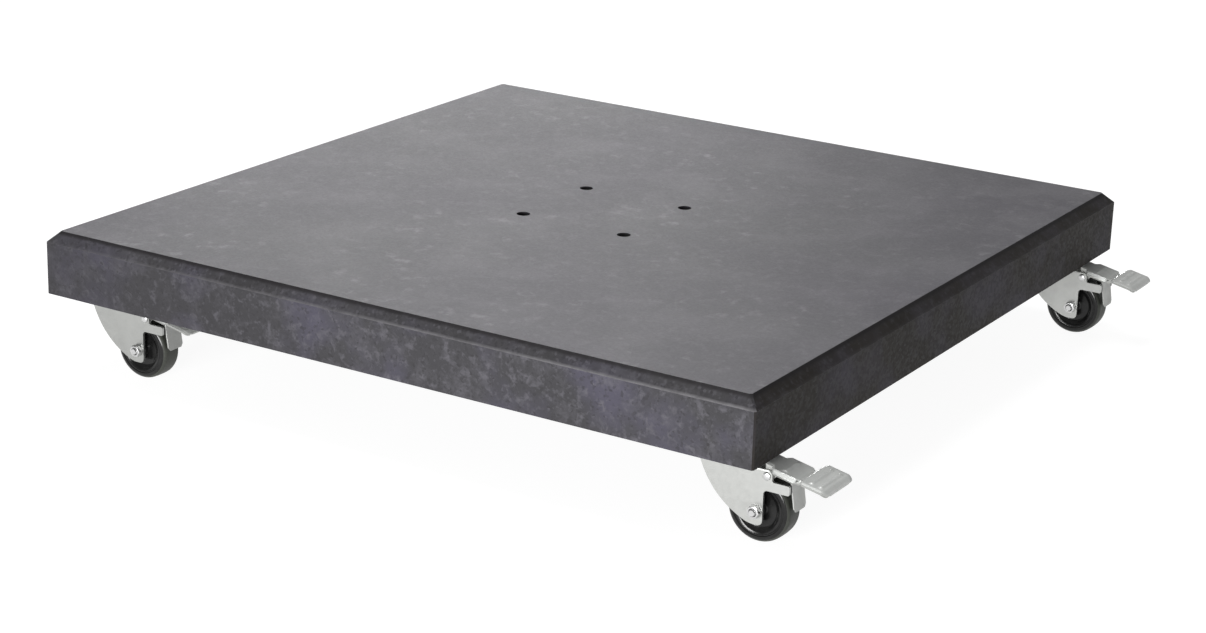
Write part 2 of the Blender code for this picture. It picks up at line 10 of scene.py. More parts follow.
import bmesh
import bpy
from bpy.props import FloatProperty, FloatVectorProperty, IntProperty, PointerProperty
from mathutils import Matrix, Vector


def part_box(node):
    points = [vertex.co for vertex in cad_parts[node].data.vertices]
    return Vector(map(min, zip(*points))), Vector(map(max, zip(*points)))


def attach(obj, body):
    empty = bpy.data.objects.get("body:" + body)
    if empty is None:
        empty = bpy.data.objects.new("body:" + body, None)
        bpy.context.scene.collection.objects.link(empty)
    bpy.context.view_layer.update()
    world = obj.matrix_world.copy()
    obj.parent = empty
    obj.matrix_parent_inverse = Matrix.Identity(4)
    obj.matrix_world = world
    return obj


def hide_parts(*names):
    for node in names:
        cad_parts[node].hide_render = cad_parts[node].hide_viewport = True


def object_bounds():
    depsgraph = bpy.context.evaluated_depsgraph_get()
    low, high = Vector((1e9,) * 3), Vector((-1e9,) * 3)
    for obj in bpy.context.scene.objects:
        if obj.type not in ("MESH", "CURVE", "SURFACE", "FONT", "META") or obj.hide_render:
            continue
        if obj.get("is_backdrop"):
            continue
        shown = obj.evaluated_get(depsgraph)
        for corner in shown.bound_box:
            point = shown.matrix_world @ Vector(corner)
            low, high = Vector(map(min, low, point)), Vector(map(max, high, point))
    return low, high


bl_info = {
    "name": "Rolling granite slab",
    "version": (1, 0, 0),
    "blender": (4, 5, 0),
    "location": "3D View > Sidebar > Granite slab",
    "description": "Finished stone, castors and stage for the rolling granite slab",
    "category": "Object",
}

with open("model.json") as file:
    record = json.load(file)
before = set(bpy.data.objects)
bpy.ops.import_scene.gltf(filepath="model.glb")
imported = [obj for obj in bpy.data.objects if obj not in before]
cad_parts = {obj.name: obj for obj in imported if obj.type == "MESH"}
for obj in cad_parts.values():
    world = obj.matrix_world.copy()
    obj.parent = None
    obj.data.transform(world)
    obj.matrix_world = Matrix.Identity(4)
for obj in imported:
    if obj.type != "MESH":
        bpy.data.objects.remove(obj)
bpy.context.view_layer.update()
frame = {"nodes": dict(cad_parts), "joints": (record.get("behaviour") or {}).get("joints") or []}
CORNERS = ("front_left", "front_right", "rear_left", "rear_right")
PATTERN = CORNERS[0]

# Metres. How far cutters and outlines run past a castor piece, and the gap between pieces that
# seem to touch.
WIDE = 0.02
GAP = 0.0003
# The axle's bolt and nut, and the fork's eyes for it.
AXLE_RADIUS = 0.003
AXLE_EYE = 0.0033
ACROSS_FLATS = 0.010
NUT_BORE = 0.0032
# The pedal's rivet, the eyes for it and the gap between ear and flange.
PIN_RADIUS = 0.002
PIN_EYE = 0.0023
FLANGE_GAP = 0.001
# Points closer than this become one, and faces flatter than this angle become one.
MERGE = 0.000002
PACKED_MERGE = 0.000005
FLAT = radians(0.3)
# The slab's finishes, in the order of its materials. The last two hold painted shade for the
# front and back faces.
TOP, SIDE, CHAMFER, HOLE, PAINTED_SHADE_SIDE, PAINTED_SHADE_CHAMFER = range(6)
# Each soft light's name, its setting, its width and height, and where it hangs.
SOFTBOXES = (
    ("left_softbox", "key", 1.6, 0.6, (-2.6, -0.3, 0.24)),
    ("over_softbox", "over", 1.4, 1.4, (0.1, 0.45, 2.2)),
    ("back_softbox", "back", 2.0, 0.2, (2.5, 1.9, -0.02)),
    ("sheen_softbox", "sheen", 1.5, 0.7, (2.45, 2.0, 0.85)),
)
CAMERA_SPOT = Vector((-2.14645, -1.31368, 0.73881))
SENSOR_WIDTH = 36.0
FLOOR_RADIUS = 14.0


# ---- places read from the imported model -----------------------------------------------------
def joint_place(name):
    """Where a joint's axis passes, in the row frame."""
    found = [joint for joint in frame["joints"] if joint["name"] == name]
    return Vector(found[0]["pos_m"])


def swivel(corner):
    """The point on a corner's swivel axis at the slab's underside."""
    return joint_place(corner + "_swivel")


def local_box(kind):
    """A castor piece's lowest and highest corner, measured from its swivel point."""
    low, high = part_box(PATTERN + "_" + kind)
    return low - swivel(PATTERN), high - swivel(PATTERN)


AXLE = joint_place(PATTERN + "_wheel_spin") - swivel(PATTERN)
PIN = joint_place(PATTERN + "_brake_press") - swivel(PATTERN)
FORK_LOW, FORK_HIGH = local_box("fork")


# ---- sizes and colours a user would change -------------------------------------------------
def length(name, description, default):
    """A length property in metres."""
    return FloatProperty(
        name=name, description=description, default=default, min=0.0, precision=5, unit="LENGTH"
    )


def power(name, description, default):
    """A light's power in watts."""
    return FloatProperty(name=name, description=description, default=default, unit="POWER")


def colour(name, description, default):
    """A colour property."""
    return FloatVectorProperty(
        name=name, description=description, default=default, size=3, min=0, max=1, subtype="COLOR"
    )


class SlabStone(bpy.types.PropertyGroup):
    """Edges and colours of the granite."""

    arris: length("Arris", "Rounding of the slab's edges", 0.0006)
    chamfer: length("Chamfer", "Height of the chamfer round the top", 0.010)
    top_tone: colour("Top", "Honed top face", (0.106, 0.102, 0.115))
    top_light: colour("Top flecks", "Lighter flecks in the top face", (0.181, 0.175, 0.189))
    dash_tone: colour("Dashes", "Pale dashes in the top face", (0.205, 0.20, 0.21))
    tinge: colour("Tinge", "Greenish patches in the top face", (0.116, 0.122, 0.112))
    side_tone: colour("Sides", "Sawn side faces", (0.0325, 0.0315, 0.0345))
    side_light: colour("Side flecks", "Lighter flecks in the side faces", (0.084, 0.081, 0.092))
    violet: colour("Violet patches", "Bluish patches in the side faces", (0.056, 0.052, 0.076))
    # Painted shade: the front and back faces are the same granite as the sides, darkened.
    brown_tone: colour("Brown sides", "Browner front and back faces", (0.0205, 0.0180, 0.0160))
    chamfer_tone: colour("Chamfer tone", "Polished chamfer", (0.030, 0.029, 0.031))
    # Painted shade along the chamfer's upper edge.
    rim_tone: colour("Rim", "Dark upper edge of the chamfer", (0.013, 0.012, 0.013))
    # Painted highlight under the chamfer, broken into patches like rubbed wear.
    arris_tone: colour("Arris line", "Rubbed edge under the chamfer", (0.115, 0.112, 0.118))
    dark: colour("Dark grains", "Dark mica grains", (0.020, 0.019, 0.021))
    # Painted shade: the hole walls are darker than the sawn sides.
    hole_tone: colour("Drilled holes", "Walls of the mast holes", (0.020, 0.019, 0.020))


class CastorSizes(bpy.types.PropertyGroup):
    """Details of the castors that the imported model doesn't carry."""

    sheet: length("Fork sheet", "Thickness of the pressed fork", 0.0025)
    sheet_edge: length("Sheet edge", "Rounding of cut sheet edges", 0.00035)
    bend: length("Fork bend", "Outside radius between crown and legs", 0.003)
    crown_back: length("Crown length", "Crown behind the swivel axis", 0.024)
    leg_bulge: length("Leg bulge", "How far the leading edge bows out", 0.008)
    leg_back: length("Leg back", "Leg behind the axle", 0.0065)
    ear_height: length("Ear height", "Height of the ear beside the wheel", 0.0083)
    ear_drop: length("Ear drop", "Ear's top edge under the top of the wheel", 0.0010)
    eye: length("Pin eye", "Radius of the ear around the pedal pin", 0.005)
    kingpin_hole: length("Kingpin hole", "Radius of the crown's hole", 0.0054)
    wheel_width: length("Wheel width", "Width of the tread", 0.022)
    shoulder: length("Shoulder", "Rounding from tread to side", 0.0045)
    pedal_sheet: length("Pedal sheet", "Thickness of the pedal", 0.0018)
    shoe_sheet: length("Shoe sheet", "Thickness of the brake shoe", 0.0015)
    rib: length("Grip rib", "Height of the foot pad's grip ribs", 0.0008)
    ball: length("Ball", "Radius of a bearing ball", 0.0018)
    balls: IntProperty(name="Balls", description="Balls in a bearing", default=18, min=6, max=30)
    thread: length("Thread pitch", "Pitch of the axle thread", 0.001)


class CastorColours(bpy.types.PropertyGroup):
    """Colours of the castors."""

    zinc: colour("Fork zinc", "Zinc plating of fork and plate", (0.405, 0.410, 0.398))
    # Painted light: this zinc is lighter than the fork's and goes on the pedal's upward faces.
    pedal_zinc: colour("Pedal zinc", "Zinc plating of pedal and shoe", (0.72, 0.735, 0.715))
    steel: colour("Bolt steel", "Bright plated bolts, nuts and rivets", (0.62, 0.62, 0.62))
    side: colour("Wheel side", "Gloss black side of the wheel", (0.005, 0.005, 0.005))
    tread: colour("Tread", "Running surface of the wheel", (0.027, 0.029, 0.024))


class StageSettings(bpy.types.PropertyGroup):
    """Floor, light and camera."""

    floor: colour("Floor", "Colour of the floor", (0.20, 0.20, 0.20))
    floor_glow: FloatProperty(
        name="Floor glow", description="Light the floor gives off", default=0.92, min=0, max=2
    )
    sky: FloatProperty(name="Sky", description="Strength of the surround", default=0.18, min=0)
    key: power("Key", "Left soft light", 88.0)
    over: power("Over", "Overhead soft light", 43.0)
    back: power("Back", "Low light on the back", 40.0)
    sheen: power("Sheen", "Sheen on the top", 10.0)
    lens: FloatProperty(name="Lens", description="Focal length in millimetres", default=80.937)
    yaw: FloatProperty(name="Turn", description="Camera heading", default=0.5485318)
    pitch: FloatProperty(name="Tilt", description="Camera tilt down", default=0.3245125)
    roll: FloatProperty(name="Roll", description="Camera roll", default=0.0312448)


def stone():
    """The slab's edges and colours."""
    return bpy.context.scene.slab_stone


def sizes():
    """The castors' detail sizes."""
    return bpy.context.scene.castor_sizes


def colours():
    """The castors' colours."""
    return bpy.context.scene.castor_colours


def stage_settings():
    """Floor, light and camera settings."""
    return bpy.context.scene.stage_settings


# ---- material building ---------------------------------------------------------------------
class Paint:
    """A Principled material with short ways to add procedural nodes."""

    def __init__(self, name, roughness, metallic=0.0, specular=0.5):
        self.material = bpy.data.materials.new(name)
        self.material.use_nodes = True
        self.nodes = self.material.node_tree.nodes
        self.links = self.material.node_tree.links
        self.shader = self.nodes["Principled BSDF"]
        self.shader.inputs["Roughness"].default_value = roughness
        self.shader.inputs["Metallic"].default_value = metallic
        self.shader.inputs["Specular IOR Level"].default_value = specular
        self.place = self.nodes.new("ShaderNodeTexCoord").outputs["Object"]

    def stretched(self, scale):
        """Object coordinates stretched by a scale for each axis."""
        node = self.nodes.new("ShaderNodeMapping")
        node.inputs["Scale"].default_value = scale
        self.links.new(self.place, node.inputs["Vector"])
        return node.outputs["Vector"]

    def bent(self, amount, scale):
        """Object coordinates pushed about by soft noise."""
        node = self.nodes.new("ShaderNodeTexNoise")
        node.inputs["Scale"].default_value = scale
        self.links.new(self.place, node.inputs["Vector"])
        shift = self.nodes.new("ShaderNodeVectorMath")
        shift.operation = "MULTIPLY_ADD"
        shift.inputs[1].default_value = (amount, amount, amount)
        self.links.new(node.outputs["Color"], shift.inputs[0])
        self.links.new(self.place, shift.inputs[2])
        return shift.outputs["Vector"]

    def along(self, axis):
        """The distance along one axis in metres."""
        node = self.nodes.new("ShaderNodeSeparateXYZ")
        self.links.new(self.place, node.inputs["Vector"])
        return node.outputs[axis]

    def noise(self, scale, detail=3.0, roughness=0.55, place=None):
        """Soft noise from 0 to 1."""
        node = self.nodes.new("ShaderNodeTexNoise")
        node.inputs["Scale"].default_value = scale
        node.inputs["Detail"].default_value = detail
        node.inputs["Roughness"].default_value = roughness
        self.links.new(place or self.place, node.inputs["Vector"])
        return node.outputs["Fac"]

    def grains(self, scale):
        """One random grey for each crystal."""
        node = self.nodes.new("ShaderNodeTexVoronoi")
        node.inputs["Scale"].default_value = scale
        self.links.new(self.place, node.inputs["Vector"])
        grey = self.nodes.new("ShaderNodeSeparateColor")
        self.links.new(node.outputs["Color"], grey.inputs["Color"])
        return grey.outputs["Red"]

    def ramp(self, value, low, high, bottom=0.0, top=1.0):
        """value mapped from low..high to bottom..top and clamped."""
        node = self.nodes.new("ShaderNodeMapRange")
        node.inputs["From Min"].default_value = low
        node.inputs["From Max"].default_value = high
        node.inputs["To Min"].default_value = bottom
        node.inputs["To Max"].default_value = top
        self.links.new(value, node.inputs["Value"])
        return node.outputs["Result"]

    def math(self, operation, first, second):
        """Two values, or a value and a number, put together."""
        node = self.nodes.new("ShaderNodeMath")
        node.operation = operation
        for socket, value in zip(node.inputs, (first, second)):
            if isinstance(value, (int, float)):
                socket.default_value = value
            else:
                self.links.new(value, socket)
        return node.outputs["Value"]

    def mixed(self, factor, first, second):
        """A colour between two colours or colour sockets."""
        node = self.nodes.new("ShaderNodeMix")
        node.data_type = "RGBA"
        self.links.new(factor, node.inputs["Factor"])
        for socket, value in ((node.inputs["A"], first), (node.inputs["B"], second)):
            if isinstance(value, bpy.types.NodeSocket):
                self.links.new(value, socket)
            else:
                socket.default_value = (*value, 1.0)
        return node.outputs["Result"]

    def colour(self, socket):
        """Give the shader its colour."""
        self.links.new(socket, self.shader.inputs["Base Color"])

    def roughness(self, socket):
        """Give the shader a varying roughness."""
        self.links.new(socket, self.shader.inputs["Roughness"])

    def bump(self, height, depth, strength=1.0):
        """Raise the surface by height times depth metres."""
        node = self.nodes.new("ShaderNodeBump")
        node.inputs["Strength"].default_value = strength
        node.inputs["Distance"].default_value = depth
        self.links.new(height, node.inputs["Height"])
        self.links.new(node.outputs["Normal"], self.shader.inputs["Normal"])


def stone_colour(paint, tone, light, tint, fleck, contrast, grain):
    """Granite colour: clouds, tinted patches, worm-like flecks, crystals and dark mica."""
    clouds = paint.noise(6.0, 4.0, 0.6)
    patches = paint.noise(38.0, 6.0, 0.7)
    warp = paint.bent(0.012, 60.0)
    worms = paint.noise(105.0, 4.0, 0.6, warp)
    crystals = paint.grains(grain)
    cloudy = paint.mixed(
        paint.ramp(clouds, 0.33, 0.68),
        [channel * (1 - 0.11 * contrast) for channel in tone],
        [min(1, channel * (1 + 0.13 * contrast)) for channel in tone],
    )
    tinted = paint.math("MULTIPLY", paint.ramp(paint.noise(11.0, 3.0), 0.48, 0.66), fleck * 0.8)
    base = paint.mixed(tinted, cloudy, tint)
    base = paint.mixed(paint.ramp(patches, 0.50, 0.80, 0.0, fleck * 0.8), base, light)
    base = paint.mixed(paint.ramp(worms, 0.53, 0.68, 0.0, 0.8 * fleck), base, light)
    mica = paint.ramp(crystals, 0.0, 0.24, 0.5 * contrast, 0.0)
    grained = paint.mixed(mica, base, tuple(stone().dark))
    bright = paint.ramp(crystals, 0.84, 1.0, 0.0, 0.24 * contrast)
    return paint.mixed(bright, grained, light), crystals


def granite(
    name, tone, light, roughness, fleck, contrast, specular, grain=520.0, dashes=False, rear_shade=0.0
):
    """A granite face with one finish.

    fleck and contrast are how strongly the flecks and the crystals show, and grain how fine the
    crystals are. dashes adds the top's pale dashes; the last argument sets painted shade that
    darkens the rear end.
    """
    look = stone()
    paint = Paint(name, roughness, specular=specular)
    tint = light if dashes else tuple(look.violet)
    mixed, crystals = stone_colour(paint, tone, light, tint, fleck, contrast, grain)
    dust = paint.noise(900.0, 2.0, 0.7)
    if dashes:
        tinge = paint.ramp(paint.noise(3.2, 2.0), 0.36, 0.64, 0.0, 0.22)
        mixed = paint.mixed(tinge, mixed, tuple(look.tinge))
        spots = paint.noise(52.0, 4.0, 0.62, paint.bent(0.006, 70.0))
        groups = paint.ramp(paint.noise(7.0, 3.0), 0.42, 0.62, 0.15, 1.0)
        dashed = paint.math("MULTIPLY", paint.ramp(spots, 0.57, 0.72, 0.0, 0.8), groups)
        mixed = paint.mixed(dashed, mixed, tuple(look.dash_tone))
    if rear_shade > 0:
        # Painted shade: the faces darken towards the rear end, in the dark grain colour.
        rear_painted_shade = paint.ramp(paint.along("Y"), 0.0, 0.36, 0.0, rear_shade)
        mixed = paint.mixed(rear_painted_shade, mixed, tuple(look.dark))
    paint.colour(mixed)
    paint.roughness(paint.ramp(crystals, 0.0, 1.0, roughness * 0.85, roughness * 1.15))
    paint.bump(paint.math("ADD", paint.math("MULTIPLY", crystals, 0.5), dust), 0.00010, 0.5)
    return paint.material


def polished_chamfer(name, tone, highlight_strength):
    """The chamfer: painted shade on the upper edge, a polished face and a painted highlight on
    the lower edge, more or less strong and patchy like rubbed wear.
    """
    look = stone()
    paint = Paint(name, 0.36, specular=0.22)
    light, tint = tuple(look.side_light), tuple(look.violet)
    mixed, crystals = stone_colour(paint, tone, light, tint, 0.35, 1.2, 420.0)
    wobble = paint.ramp(paint.noise(70.0, 3.0), 0.3, 0.7, -0.0002, 0.0002)
    height = paint.math("ADD", paint.along("Z"), wobble)
    # Painted shade: the chamfer darkens towards its upper edge.
    rim = paint.ramp(height, -look.chamfer * 0.36, -look.chamfer * 0.16, 0.0, 0.9)
    mixed = paint.mixed(rim, mixed, tuple(look.rim_tone))
    # Painted highlight along the lower edge, strongest at the −Y end and broken into patches like
    # rubbed wear.
    foot = paint.ramp(height, -look.chamfer * 0.80, -look.chamfer * 0.98, 0.0, 1.0)
    highlight_and_wear = paint.ramp(paint.along("Y"), -0.30, 0.36, highlight_strength, highlight_strength * 0.12)
    patchy = paint.ramp(paint.noise(45.0, 5.0, 0.7), 0.3, 0.55, 0.35, 1.0)
    highlight_and_wear = paint.math("MULTIPLY", highlight_and_wear, patchy)
    mixed = paint.mixed(paint.math("MULTIPLY", foot, highlight_and_wear), mixed, tuple(look.arris_tone))
    paint.colour(mixed)
    paint.roughness(paint.ramp(crystals, 0.0, 1.0, 0.30, 0.42))
    return paint.material


def zinc(name, tone, roughness, metallic=1.0):
    """Zinc-plated pressed steel: faint stains, rolling marks and a soft satin."""
    paint = Paint(name, roughness, metallic=metallic)
    stains = paint.noise(45.0, 4.0, 0.6)
    rolling = paint.noise(1.0, 3.0, 0.6, paint.stretched((90.0, 90.0, 1400.0)))
    spangle = paint.grains(260.0)
    dull = tuple(channel * 0.86 for channel in tone)
    mixed = paint.mixed(paint.ramp(stains, 0.35, 0.7), tuple(tone), dull)
    paint.colour(mixed)
    varied = paint.math("ADD", paint.ramp(stains, 0.3, 0.7, -0.05, 0.07), roughness)
    paint.roughness(paint.math("ADD", varied, paint.ramp(spangle, 0.0, 1.0, -0.02, 0.02)))
    paint.bump(paint.math("ADD", rolling, paint.math("MULTIPLY", spangle, 0.3)), 0.00003, 0.35)
    return paint.material


def moulding(name, tone, roughness, grain, specular):
    """Moulded black wheel: even colour with faint scuffs and dust."""
    paint = Paint(name, roughness, specular=specular)
    scuffs = paint.noise(120.0, 5.0, 0.7)
    fine = paint.noise(1500.0, 2.0, 0.6)
    dusty = tuple(min(1.0, channel * 1.9 + 0.006) for channel in tone)
    paint.colour(paint.mixed(paint.ramp(scuffs, 0.5, 0.8, 0.0, 0.6), tuple(tone), dusty))
    paint.roughness(paint.ramp(scuffs, 0.3, 0.75, roughness * 0.85, roughness * 1.35))
    paint.bump(fine, grain, 0.5)
    return paint.material


# ---- mesh helpers --------------------------------------------------------------------------
def filleted(corners, steps=6):
    """A closed outline whose corners (a, b, radius) are rounded by arcs."""
    points = []
    count = len(corners)
    for index, (along, up, radius) in enumerate(corners):
        here = Vector((along, up))
        before = Vector(corners[index - 1][:2]) - here
        after = Vector(corners[(index + 1) % count][:2]) - here
        if radius <= 0:
            points.append(tuple(here))
            continue
        half = before.angle(after) / 2
        reach = min(radius / tan(half), before.length * 0.49, after.length * 0.49)
        radius = reach * tan(half)
        start = here + before.normalized() * reach
        end = here + after.normalized() * reach
        middle = here + (before.normalized() + after.normalized()).normalized() * (
            radius / sin(half)
        )
        first = atan2(start.y - middle.y, start.x - middle.x)
        sweep = atan2(end.y - middle.y, end.x - middle.x) - first
        sweep = (sweep + pi) % (2 * pi) - pi
        for step in range(steps + 1):
            angle = first + sweep * step / steps
            points.append((middle.x + radius * cos(angle), middle.y + radius * sin(angle)))
    return points


def pushed(points, low, high, axis):
    """A flat outline pushed into a solid along X, Y or Z."""
    bm = bmesh.new()
    place = {
        "X": lambda a, b: (low, -a, b),
        "Y": lambda a, b: (a, low, b),
        "Z": lambda a, b: (a, -b, low),
    }[axis]
    face = bm.faces.new([bm.verts.new(place(a, b)) for a, b in points])
    grown = bmesh.ops.extrude_face_region(bm, geom=[face], use_keep_orig=True)
    moved = [item for item in grown["geom"] if isinstance(item, bmesh.types.BMVert)]
    push = Vector({"X": (1, 0, 0), "Y": (0, 1, 0), "Z": (0, 0, 1)}[axis]) * (high - low)
    bmesh.ops.translate(bm, vec=push, verts=moved)
    bmesh.ops.recalc_face_normals(bm, faces=bm.faces)
    return bm


def turned(profile, segments, axis="Z", closed=False):
    """A solid of revolution about Z or X from (radius, along) points."""
    bm = bmesh.new()
    verts = [bm.verts.new((radius, 0, along)) for radius, along in profile]
    pairs = list(zip(verts, verts[1:]))
    if closed:
        pairs.append((verts[-1], verts[0]))
    edges = [bm.edges.new(pair) for pair in pairs]
    bmesh.ops.spin(
        bm,
        geom=verts + edges,
        cent=(0, 0, 0),
        axis=(0, 0, 1),
        angle=2 * pi,
        steps=segments,
        use_merge=True,
    )
    bmesh.ops.remove_doubles(bm, verts=bm.verts, dist=MERGE)
    if axis == "X":
        turn = Matrix.Rotation(pi / 2, 3, "Y")
        bmesh.ops.rotate(bm, cent=(0, 0, 0), matrix=turn, verts=bm.verts)
    bmesh.ops.recalc_face_normals(bm, faces=bm.faces)
    return bm


def drill(radius, low, high, spot, axis, segments=40):
    """A round cutter along X or Z through a point."""
    bm = bmesh.new()
    turn = Matrix.Rotation(pi / 2, 4, "Y") if axis == "X" else Matrix.Identity(4)
    middle = (low + high) / 2
    shift = Vector((middle, 0, 0)) if axis == "X" else Vector((0, 0, middle))
    bmesh.ops.create_cone(
        bm,
        cap_ends=True,
        segments=segments,
        radius1=radius,
        radius2=radius,
        depth=high - low,
        matrix=Matrix.Translation(Vector(spot) + shift) @ turn,
    )
    return bm


def joined(parts):
    """Several solids in one bmesh."""
    mesh = bpy.data.meshes.new("joined")
    whole = bmesh.new()
    for part in parts:
        part.to_mesh(mesh)
        part.free()
        whole.from_mesh(mesh)
    bpy.data.meshes.remove(mesh)
    return whole


def combined(base, other, operation):
    """One solid cut by, joined to or kept inside another."""
    pair = []
    for label, bm in (("base", base), ("other", other)):
        mesh = bpy.data.meshes.new(label)
        bm.to_mesh(mesh)
        bm.free()
        thing = bpy.data.objects.new(label, mesh)
        bpy.context.scene.collection.objects.link(thing)
        pair.append(thing)
    cutter = pair[0].modifiers.new("cutter", "BOOLEAN")
    cutter.operation = operation
    cutter.solver = "EXACT"
    cutter.object = pair[1]
    graph = bpy.context.evaluated_depsgraph_get()
    result = bmesh.new()
    result.from_mesh(pair[0].evaluated_get(graph).data)
    for thing in pair:
        mesh = thing.data
        bpy.data.objects.remove(thing, do_unlink=True)
        bpy.data.meshes.remove(mesh)
    bmesh.ops.remove_doubles(result, verts=result.verts, dist=MERGE)
    return result


def eased(bm, width, sharper=25.0, segments=2):
    """Round every edge that is sharper than an angle in degrees."""
    bmesh.ops.dissolve_limit(bm, angle_limit=FLAT, verts=bm.verts, edges=bm.edges)
    limit = radians(sharper)
    edges = [
        edge for edge in bm.edges if len(edge.link_faces) == 2 and edge.calc_face_angle(0) > limit
    ]
    bmesh.ops.bevel(
        bm,
        geom=edges,
        offset=width,
        offset_type="OFFSET",
        segments=segments,
        profile=0.5,
        affect="EDGES",
        clamp_overlap=True,
        material=-1,
    )
    bmesh.ops.recalc_face_normals(bm, faces=bm.faces)
    return bm


def copied_node(node, shift=Vector((0, 0, 0))):
    """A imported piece's own shape, merged into clean faces and moved by shift."""
    bm = bmesh.new()
    bm.from_mesh(frame["nodes"][node].data)
    bmesh.ops.remove_doubles(bm, verts=bm.verts, dist=PACKED_MERGE)
    bmesh.ops.dissolve_limit(bm, angle_limit=FLAT, verts=bm.verts, edges=bm.edges)
    bmesh.ops.translate(bm, vec=shift, verts=bm.verts)
    return bm


def finished(name, bm, body, nodes, paints, sharp=35.0):
    """One finished piece in its place, riding on its body and standing for its nodes."""
    mesh = bpy.data.meshes.new(name)
    bm.to_mesh(mesh)
    for paint in paints:
        mesh.materials.append(paint)
    mesh.shade_smooth()
    mesh.set_sharp_from_angle(angle=radians(sharp))
    piece = bpy.data.objects.new(name, mesh)
    bpy.context.scene.collection.objects.link(piece)
    even = piece.modifiers.new("even_shading", "WEIGHTED_NORMAL")
    even.keep_sharp = True
    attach(piece, body)
    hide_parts(*nodes)
    return piece


def on_every_castor(label, bm, part, kind, paints):
    """The same finished piece on all four castors. part is the body's name after the corner."""
    for corner in CORNERS:
        own = bm.copy()
        bmesh.ops.translate(own, vec=swivel(corner), verts=own.verts)
        body = corner + part if part != "slab" else "slab"
        finished(corner + label, own, body, [corner + kind], paints)
        own.free()
    bm.free()


# ---- shapes --------------------------------------------------------------------------------
def leg_outline():
    """Smooth side outline of the fork as (behind, height) points."""
    size = sizes()
    low, high = FORK_LOW, FORK_HIGH
    wheel_top = local_box("wheel")[1].z
    behind = -AXLE.y
    drop = AXLE.z - low.z
    top = Vector((-high.y, high.z))
    foot = Vector((behind - drop * 0.75, AXLE.z - drop * 0.9))
    run = foot - top
    outward = Vector((run.y, -run.x)).normalized()
    corners = [(-high.y, WIDE, 0), (*top, 0)]
    count = 22
    for step in range(1, count):
        part = step / count
        spot = top + run * part + outward * (size.leg_bulge * 4 * part * (1 - part))
        corners.append((*spot, 0))
    back = behind + size.leg_back
    ear_top = wheel_top - size.ear_drop
    ear_foot = ear_top - size.ear_height
    pin_back = -PIN.y
    corners += [
        (*foot, 0.002),
        (behind - drop / 3, low.z, 0.006),
        (back, low.z, 0.0045),
        (back, ear_foot, 0.0035),
        (-low.y, ear_foot, 0.0015),
        (-low.y, ear_top, 0.0015),
        (pin_back + size.eye, ear_top, 0.002),
        (pin_back + size.eye, PIN.z + size.eye, size.eye * 0.98),
        (size.crown_back + 0.002, PIN.z + size.eye, 0.002),
        (size.crown_back, high.z + 0.0001, 0),
        (size.crown_back, WIDE, 0),
    ]
    return filleted(corners, 7)


def fork_shape():
    """Pressed fork with bent shoulders, eyes for axle and pin, and softened sheet edges."""
    size = sizes()
    low, high = FORK_LOW, FORK_HIGH
    outside = high.x
    inside = outside - size.sheet
    bend = size.bend
    channel = [
        (-outside, low.z - WIDE, 0),
        (-outside, high.z, bend),
        (outside, high.z, bend),
        (outside, low.z - WIDE, 0),
        (inside, low.z - WIDE, 0),
        (inside, high.z - size.sheet, bend * 0.3),
        (-inside, high.z - size.sheet, bend * 0.3),
        (-inside, low.z - WIDE, 0),
    ]
    sheet = pushed(filleted(channel, 7), low.y - WIDE, high.y + WIDE, "Y")
    side = pushed(leg_outline(), -outside - WIDE, outside + WIDE, "X")
    shape = combined(sheet, side, "INTERSECT")
    window = [
        (size.crown_back, WIDE),
        (size.crown_back, PIN.z),
        (0.1, PIN.z),
        (0.1, WIDE),
    ]
    shape = combined(shape, pushed(window, -inside, inside, "X"), "DIFFERENCE")
    bolt = local_box("axle_bolt")
    cutters = [
        drill(size.kingpin_hole, AXLE.z, WIDE, (0, 0, 0), "Z"),
        drill(AXLE_EYE, bolt[0].x, bolt[1].x, (0, AXLE.y, AXLE.z), "X"),
        drill(PIN_EYE, bolt[0].x, bolt[1].x, (0, PIN.y, PIN.z), "X"),
    ]
    shape = combined(shape, joined(cutters), "DIFFERENCE")
    return eased(shape, size.sheet_edge)


def wheel_profile(radius, half, hub_half):
    """Half section of the wheel from the bore out to the middle of the tread."""
    size = sizes()
    shoulder = size.shoulder
    points = [
        (0.0034, hub_half),
        (0.0058, hub_half),
        (0.0064, hub_half - 0.0005),
        (0.0066, half - 0.0030),
        (0.0085, half - 0.0036),
        (radius * 0.52, half - 0.0036),
        (radius * 0.60, half - 0.0030),
        (radius * 0.66, half - 0.0010),
        (radius * 0.70, half - 0.0004),
        (radius - shoulder - 0.0028, half - 0.0001),
        (radius - shoulder - 0.0022, half - 0.0007),
        (radius - shoulder - 0.0014, half - 0.0007),
        (radius - shoulder - 0.0008, half),
    ]
    crown = 0.0002
    steps = 8
    for step in range(steps + 1):
        angle = pi / 2 * step / steps
        out = radius - crown - shoulder + shoulder * sin(angle)
        points.append((out, half - shoulder + shoulder * cos(angle)))
    points.append((radius, half * 0.25))
    return points


def wheel_shape():
    """Moulded wheel: hub, dished web, ringed side, rounded shoulder and crowned tread."""
    low, high = local_box("wheel")
    radius = (high.z - low.z) / 2
    half = sizes().wheel_width / 2
    edge = wheel_profile(radius, half, high.x)
    profile = edge + [(out, -along) for out, along in reversed(edge)]
    bm = turned(profile, 96, "X", True)
    tread = radius - sizes().shoulder * 0.55
    for face in bm.faces:
        middle = face.calc_center_median()
        out = sqrt(middle.y**2 + middle.z**2)
        face.material_index = 1 if out > tread else 0
    bmesh.ops.translate(bm, vec=(0, AXLE.y, AXLE.z), verts=bm.verts)
    return bm


